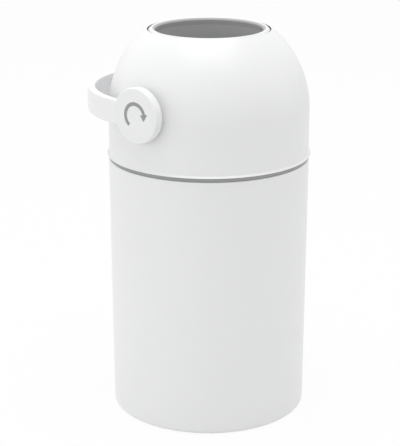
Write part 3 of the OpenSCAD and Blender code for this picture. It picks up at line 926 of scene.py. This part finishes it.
@dataclass
class Drum:
    """The ball-shaped drum with its liner and axles. The crown's start is in radians."""

    wall: float = 2.2
    skin: float = 1.0
    limit_under: float = 1.0
    rim_t: float = 2.5
    crown_w: float = 3.6
    crown_edge: float = 1.0
    crown_start: float = 0.02
    crown_soft: float = 0.8
    liner_drop: float = 0.4
    collar_h: float = 6.0
    collar_w: float = 2.0
    lip_w: float = 1.0
    lip_soft: float = 2.7
    lip_end: float = 8.0
    screw_ring: float = 78.8
    screw_boss_d: float = 9.0
    screw_well_r: float = 3.4
    screw_web: float = 14.0
    clamp_r: float = 17.0
    clamp_in: float = 90.4
    axle_r: float = 9.0
    bore_in: float = 80.0
    bore_out: float = 120.0
    lug_x: float = 17.55
    lug_w: float = 3.5
    lug_h: float = 5.0
    lug_over: float = 1.2
    lug_root: float = 4.5

    @property
    def rim_under(self) -> float:
        """Height of the rim's lower face, above the drum's centre."""
        return math.sqrt(PLAN.drum_r**2 - PLAN.rim_r**2) - self.rim_t

    @property
    def crown_edge_r(self) -> float:
        """Radius at which the ball ends in the crown."""
        return PLAN.liner_r + self.crown_w - self.crown_edge

    @property
    def crown_top(self) -> float:
        """Height of the crown, whose outermost edge runs on the ball."""
        return math.sqrt(PLAN.drum_r**2 - self.crown_edge_r**2)

    def shell_outline(self) -> list[Point]:
        """Half of the ball in section: up the outside, over the crown and down the inside.

        Returns:
            The outline's points.
        """
        p = PLAN
        inner_r, hollow_r = p.drum_r - self.wall, p.liner_r + self.crown_w
        ball_end = math.acos(self.crown_edge_r / p.drum_r) - self.crown_start
        ball = arc(0, 0, p.drum_r, 0, ball_end, Pieces.WALL)
        crown = [(r, self.crown_top, self.crown_soft) for r in (self.crown_edge_r, p.liner_r)]
        under = [(p.liner_r, self.rim_under), (hollow_r, self.rim_under)]
        hollow = arc(0, 0, inner_r, math.acos(hollow_r / inner_r), 0, Pieces.WALL)
        return rounded([*plain(ball), *crown, *plain(under), *plain(hollow)])

    def within_ball(self, part: Obj) -> Obj:
        """Trims a part to the upper half of the ball, short of the ball's outside."""
        limit = [(0, -self.limit_under), *arc(0, 0, PLAN.drum_r - self.skin, 0, math.pi / 2, Pieces.FINE)]
        return combine(part, [turned("limit", limit)], Change.TRIM)

    def shell(self, name: str, upper: bool) -> Obj:
        """One half of the ball, turned and then given its bosses and holes.

        Args:
            name: The piece's name.
            upper: Whether it is the upper half.

        Returns:
            The shell, in its place.
        """
        p = PLAN
        made = turned(name, self.shell_outline(), steps=Faces.WALL)
        column = bar(self.screw_boss_d / 2, 0, p.drum_r)
        clamp = bar(self.clamp_r, self.clamp_in, p.drum_r)
        corners, sides = four_round(self.screw_ring), [facing(back, 0) for back in (False, True)]
        parts = [self.within_ball(rod("column", column, place, Faces.COLUMN)) for place in corners]
        parts += [self.within_ball(rod("clamp", clamp, place, Faces.AXLE)) for place in sides]
        if upper:
            parts += self.stop_lugs()
        combine(made, parts, Change.JOIN)
        bore = bar(self.axle_r, self.bore_in, self.bore_out)
        cuts = [rod("bore", bore, place, Faces.AXLE) for place in sides]
        if not upper:
            well = bar(self.screw_well_r, self.screw_web, p.drum_r)
            cuts += [rod("well", well, place, Faces.COLUMN) for place in corners]
        combine(made, cuts, Change.CUT)
        if not upper:
            made.data.transform(Matrix.Scale(-1, 4, (0, 0, 1)))
            made.data.flip_normals()
        made.data.transform(Matrix.Translation((0, 0, p.drum_z * MM)))
        return made

    def stop_lugs(self) -> list[Obj]:
        """The lug at each side of the ball that meets the dome's half ring.

        Returns:
            One object for the front and one for the back.
        """
        left, right = self.lug_x, self.lug_x + self.lug_w
        near, far = PLAN.drum_r - self.lug_root, PLAN.boss_y + self.lug_over
        made = []
        for low, high in ((-far, -near), (near, far)):
            corners = [(left, low, 0.3), (right, low, 0.3), (right, high, 0.3), (left, high, 0.3)]
            made.append(prism("lug", rounded(corners, steps=2), 0, self.lug_h, Matrix.Identity(4)))
        return made

    def liner(self) -> Obj:
        """The tube of the well, with a collar and a rounded lip at each end.

        Returns:
            The liner, in its place.
        """
        p = PLAN
        top = self.crown_top - self.liner_drop
        collar_r, collar_low = p.liner_r + self.collar_w, self.rim_under - self.collar_h
        lip_x = p.well_r - self.lip_w + self.lip_soft
        lip = arc(lip_x, top - self.lip_soft, self.lip_soft, math.pi / 2, math.pi, Pieces.LIP)
        half = [
            (p.liner_r, collar_low, 0.4), (collar_r, collar_low, 0.4), (collar_r, self.rim_under, 0.3),
            (p.liner_r, self.rim_under, 0.2), (p.liner_r, top, 0), *plain(lip),
            (p.well_r, top - self.lip_end, 3.0),
        ]
        return turned("well_liner", rounded(both_ways(half), steps=8), lift=p.drum_z, steps=Faces.WALL)

    def build(self) -> None:
        """Builds the drum's shells and liner, and finishes the axles and the screws."""
        upper = self.shell("drum_upper_moulding", True)
        settle(upper, Body.DRUM, SHELL_WHITE, Slot.WHITE, "upper_drum_shell")
        lower = self.shell("drum_lower_moulding", False)
        settle(lower, Body.DRUM, SHELL_WHITE, Slot.WHITE, "lower_drum_shell")
        settle(self.liner(), Body.DRUM, LINER_GREY, Slot.GREY, "drum_liner")
        dress_nodes({"front_axle": LINER_GREY, "rear_axle": LINER_GREY})
        dress_nodes({"drum_screws": ZINC, "handle_screws": ZINC})


@dataclass
class Handle:
    """The handle: a band bent round the dome, with a hub disc and a cap at each end.

    The arrow's start, end and tip are degrees.
    """

    hub_r: float = 32.2
    hub_edge: float = 1.8
    band_h: float = 28.3
    band_t: float = 9.0
    band_edge: float = 1.6
    arm: float = 22.0
    end_half: float = 11.4
    cap_r: float = 27.0
    cap_t: float = 1.8
    cap_gap: float = 0.03
    seat_over: float = 2.0
    head_r: float = 3.4
    head_depth: float = 4.2
    key_w: float = 12.4
    key_under: float = 1.0
    key_depth: float = 4.0
    arrow_r: float = 14.0
    arrow_half: float = 2.1
    arrow_reach: float = 5.6
    arrow_start: float = 232.0
    arrow_end: float = 14.0
    arrow_tip: float = 34.0
    arrow_soft: float = 0.4
    arrow_sunk: float = 0.4
    arrow_proud: float = 0.12

    def section(self) -> list[Point]:
        """The band's section: distance outwards and height, with soft edges."""
        h, t, r = self.band_h / 2, self.band_t, self.band_edge
        return rounded([(0, -h, r), (0, h, r), (-t, h, r), (-t, -h, r)], steps=5)

    def path(self) -> list[tuple[Vector, Vector]]:
        """The band's way round the dome, from the front hub to the rear one.

        Returns:
            Points of the band's outer face in plan, each with the direction outwards.
        """
        face_y = PLAN.face_y
        bend_r = face_y - self.end_half
        made = [(Vector((x, -face_y)), Vector((0, -1))) for x in (0.0, -self.arm / 2)]
        for k in range(Pieces.BEND + 1):
            a = math.pi / 2 * k / Pieces.BEND
            out = Vector((-math.sin(a), -math.cos(a)))
            made.append((Vector((-self.arm, -self.end_half)) + out * bend_r, out))
        rear = [(Vector((point.x, -point.y)), Vector((out.x, -out.y))) for point, out in reversed(made)]
        return made + rear

    def band(self) -> Obj:
        """The band, swept along its path and closed at both ends.

        Returns:
            The band, in its place.
        """
        data = bmesh.new()
        rings = []
        for point, out in self.path():
            spots = [(point.x + out.x * u, point.y + out.y * u, PLAN.drum_z + v) for u, v in self.section()]
            rings.append([data.verts.new(spot) for spot in spots])
        count = len(rings[0])
        for here, there in zip(rings, rings[1:]):
            for i in range(count):
                data.faces.new((here[i], here[(i + 1) % count], there[(i + 1) % count], there[i]))
        data.faces.new(rings[0])
        data.faces.new(rings[-1][::-1])
        return to_object("band", data)

    def disc(self, back: bool) -> Obj:
        """One hub disc, with the seat for its cap.

        Args:
            back: Whether it is the rear one.

        Returns:
            The disc, in its place.
        """
        p = PLAN
        seat_y = p.face_y - self.cap_t
        outline = [
            (0, p.hub_y, 0), (self.hub_r, p.hub_y, 0.6), (self.hub_r, p.face_y, self.hub_edge),
            (self.cap_r, p.face_y, 0.05), (self.cap_r, seat_y, 0), (0, seat_y, 0),
        ]
        return rod("disc", rounded(outline), facing(back, p.drum_z), Faces.HUB)

    def cap(self, name: str, back: bool) -> Obj:
        """One hub cap, flush with its disc.

        Args:
            name: The piece's name.
            back: Whether it is the rear one.

        Returns:
            The cap, in its place.
        """
        p = PLAN
        r, low = self.cap_r - self.cap_gap, p.face_y - self.cap_t
        outline = soft_bar(r, low, p.face_y, soft=(0.1, 0.08), steps=4)
        return rod(name, outline, facing(back, p.drum_z), Faces.HUB)

    def turn_arrow(self) -> Obj:
        """A plain curved arrow on the front cap that shows which way the handle swings.

        Returns:
            The arrow, let into the cap.
        """
        start, end = math.radians(self.arrow_start), math.radians(self.arrow_end)
        tip = end - math.radians(self.arrow_tip)
        outer = arc(0, 0, self.arrow_r + self.arrow_half, start, end, Pieces.FINE)
        inner = arc(0, 0, self.arrow_r - self.arrow_half, end, start, Pieces.FINE)
        barbs = ((self.arrow_reach, end), (0, tip), (-self.arrow_reach, end))
        polar = [(self.arrow_r + out, turn) for out, turn in barbs]
        head = [(r * math.cos(turn), r * math.sin(turn), self.arrow_soft) for r, turn in polar]
        outline = rounded([*plain(outer), *head, *plain(inner)], steps=3)
        place = Matrix.Translation((0, -PLAN.face_y, PLAN.drum_z)) @ TO_FRONT
        return prism("turn_arrow", outline, -self.arrow_sunk, self.arrow_proud, place)

    def build(self) -> None:
        """Builds the handle, its caps and the arrow."""
        p = PLAN
        handle = combine(self.disc(False), [self.disc(True), self.band()], Change.JOIN)
        handle.name = "handle_moulding"
        seat = bar(self.cap_r, p.face_y - self.cap_t, p.face_y + self.seat_over)
        head = bar(self.head_r, p.face_y - self.head_depth, p.face_y)
        key = bar(self.key_w / 2 * math.sqrt(2), p.hub_y - self.key_under, p.hub_y + self.key_depth)
        cuts = []
        for back in (False, True):
            place = facing(back, p.drum_z)
            cuts.append(rod("seat", seat, place, Faces.HUB))
            cuts.append(rod("head", head, place, Faces.PIN))
            cuts.append(rod("key", key, place @ Matrix.Rotation(math.radians(45), 4, "Z"), Faces.SQUARE))
        combine(handle, cuts, Change.CUT)
        # The handle and its caps take the lightened white, painted light.
        settle(handle, Body.DRUM, LIT_HANDLE_WHITE, Slot.WHITE, "handle")
        settle(self.cap("hub_cap_front", False), Body.DRUM, LIT_HANDLE_WHITE, Slot.WHITE, "front_hub_cap")
        settle(self.cap("hub_cap_rear", True), Body.DRUM, LIT_HANDLE_WHITE, Slot.WHITE, "rear_hub_cap")
        settle(self.turn_arrow(), Body.DRUM, RING_GREY, Slot.GREY)


@dataclass
class Piston:
    """The loose piston in the well, with its wiping seal."""

    radius: float = 64.1
    height: float = 28.0
    edge: float = 3.5
    web: float = 3.0
    dish_r: float = 59.5
    groove: float = 2.0
    seal_h: float = 6.0

    def build(self) -> None:
        """Builds the piston and finishes its seal."""
        low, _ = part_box("piston")
        middle = low.z / MM + self.height / 2
        half = [
            (self.radius - self.groove, self.seal_h / 2, 0), (self.radius, self.seal_h / 2, 0.2),
            (self.radius, self.height / 2 - self.edge, 1.5), (self.radius - self.edge, self.height / 2, 0.5),
            (self.dish_r, self.height / 2, 0.4), (self.dish_r, self.web / 2, 3.0), (0, self.web / 2, 0),
        ]
        piston = turned("piston_moulding", rounded(both_ways(half), steps=5), lift=middle)
        settle(piston, Body.PISTON, LINER_GREY, Slot.GREY, "piston")
        dress_nodes({"piston_seal": SEAL_DARK})


# ---------- studio ----------


def white_rays(tree: Tree) -> Socket:
    """Gives 1 for the rays that see a white background: the camera's, and those of gloss and glass."""
    rays = add(tree, "ShaderNodeLightPath").outputs
    clear = maths(tree, "MAXIMUM", rays["Is Camera Ray"], rays["Is Glossy Ray"])
    return maths(tree, "MAXIMUM", clear, rays["Is Transmission Ray"])


@dataclass(frozen=True)
class Lamp:
    """A soft box: its angle from the camera's side and its height angle in degrees, its watts and sizes."""

    name: str
    turn: float
    rise: float
    power: float
    wide: float
    tall: float = 2.2
    reach: float = 2.6


@dataclass
class Studio:
    """The floor, the lamps, the white surroundings and the camera."""

    focal: float = 120.65
    sensor: float = 36.0
    far: float = 50.0
    distance: float = 1.738
    height: float = 0.7893
    azimuth: float = 39.5
    pitch: float = 17.9
    yaw: float = 0.354
    aim_z: float = 0.25
    world_light: float = 0.81
    floor_white: float = 0.93
    floor_grey: float = 0.82
    floor_half_mm: float = 9000.0
    floor_cells: int = 24
    lamps: tuple[Lamp, ...] = (
        Lamp("left_box", -75.0, 8.0, 9.0, 1.6),
        Lamp("right_box", 95.0, 10.0, 1.9, 0.8),
        Lamp("back_box", -125.0, 30.0, 2.2, 1.6),
        Lamp("top_box", 0.0, 84.0, 30.5, 2.2),
    )

    def camera(self) -> None:
        """Puts the camera at the photograph's viewing angle."""
        data = bpy.data.cameras.new("camera")
        data.lens = self.focal
        data.sensor_width = self.sensor
        data.clip_end = self.far
        made = bpy.data.objects.new("camera", data)
        bpy.context.scene.collection.objects.link(made)
        a = math.radians(self.azimuth)
        made.location = (self.distance * math.sin(a), -self.distance * math.cos(a), self.height)
        made.rotation_euler = (math.radians(90 - self.pitch), 0, a + math.radians(self.yaw))
        bpy.context.scene.camera = made

    def floor(self) -> None:
        """A plain pale floor that keeps a soft shadow and shows white to the camera."""
        data = bmesh.new()
        cells = self.floor_cells
        bmesh.ops.create_grid(data, x_segments=cells, y_segments=cells, size=self.floor_half_mm)
        made = to_object("floor", data)
        look = bpy.data.materials.new("pale_floor")
        look.use_nodes = True
        tree = look.node_tree
        tree.nodes.clear()
        grey = self.floor_grey
        cloth = add(tree, "ShaderNodeBsdfDiffuse", in_Color=(grey, grey, grey, 1)).outputs[0]
        white = add(tree, "ShaderNodeEmission", in_Color=WHITE, in_Strength=1.0).outputs[0]
        share = maths(tree, "MULTIPLY", white_rays(tree), self.floor_white)
        mix = add(tree, "ShaderNodeMixShader", in_0=share, in_1=cloth, in_2=white).outputs[0]
        add(tree, "ShaderNodeOutputMaterial", in_Surface=mix)
        made.data.materials.append(look)

    def surroundings(self) -> None:
        """White to the camera and in gloss, and a soft even light elsewhere."""
        world = bpy.data.worlds.new("studio")
        bpy.context.scene.world = world
        world.use_nodes = True
        tree = world.node_tree
        tree.nodes.clear()
        soft = add(tree, "ShaderNodeBackground", in_Color=WHITE, in_Strength=self.world_light).outputs[0]
        white = add(tree, "ShaderNodeBackground", in_Color=WHITE, in_Strength=1.0).outputs[0]
        mix = add(tree, "ShaderNodeMixShader", in_0=white_rays(tree), in_1=soft, in_2=white).outputs[0]
        add(tree, "ShaderNodeOutputWorld", in_Surface=mix)

    def light(self) -> None:
        """Puts up the soft boxes, which all face a point in the bin's middle."""
        target = Vector((0, 0, self.aim_z))
        for lamp in self.lamps:
            data = bpy.data.lights.new(lamp.name, "AREA")
            data.shape = "RECTANGLE"
            data.size, data.size_y = lamp.wide, lamp.tall
            data.energy = lamp.power
            made = bpy.data.objects.new(lamp.name, data)
            bpy.context.scene.collection.objects.link(made)
            a, e = math.radians(self.azimuth + lamp.turn), math.radians(lamp.rise)
            way = Vector((math.sin(a) * math.cos(e), -math.cos(a) * math.cos(e), math.sin(e)))
            made.location = target + way * lamp.reach
            made.rotation_euler = (-way).to_track_quat("-Z", "Y").to_euler()

    def build(self) -> None:
        """Builds the whole studio."""
        self.camera()
        self.floor()
        self.surroundings()
        self.light()
        bpy.context.scene.view_settings.view_transform = "Standard"


def main() -> None:
    """Builds the studio and every sub-assembly in order."""
    Studio().build()
    for part in (Tub(), BagRing(), Dome(), Drum(), Handle(), Piston()):
        part.build()
        log.info("built %s", type(part).__name__)


if __name__ == "__main__":
    main()
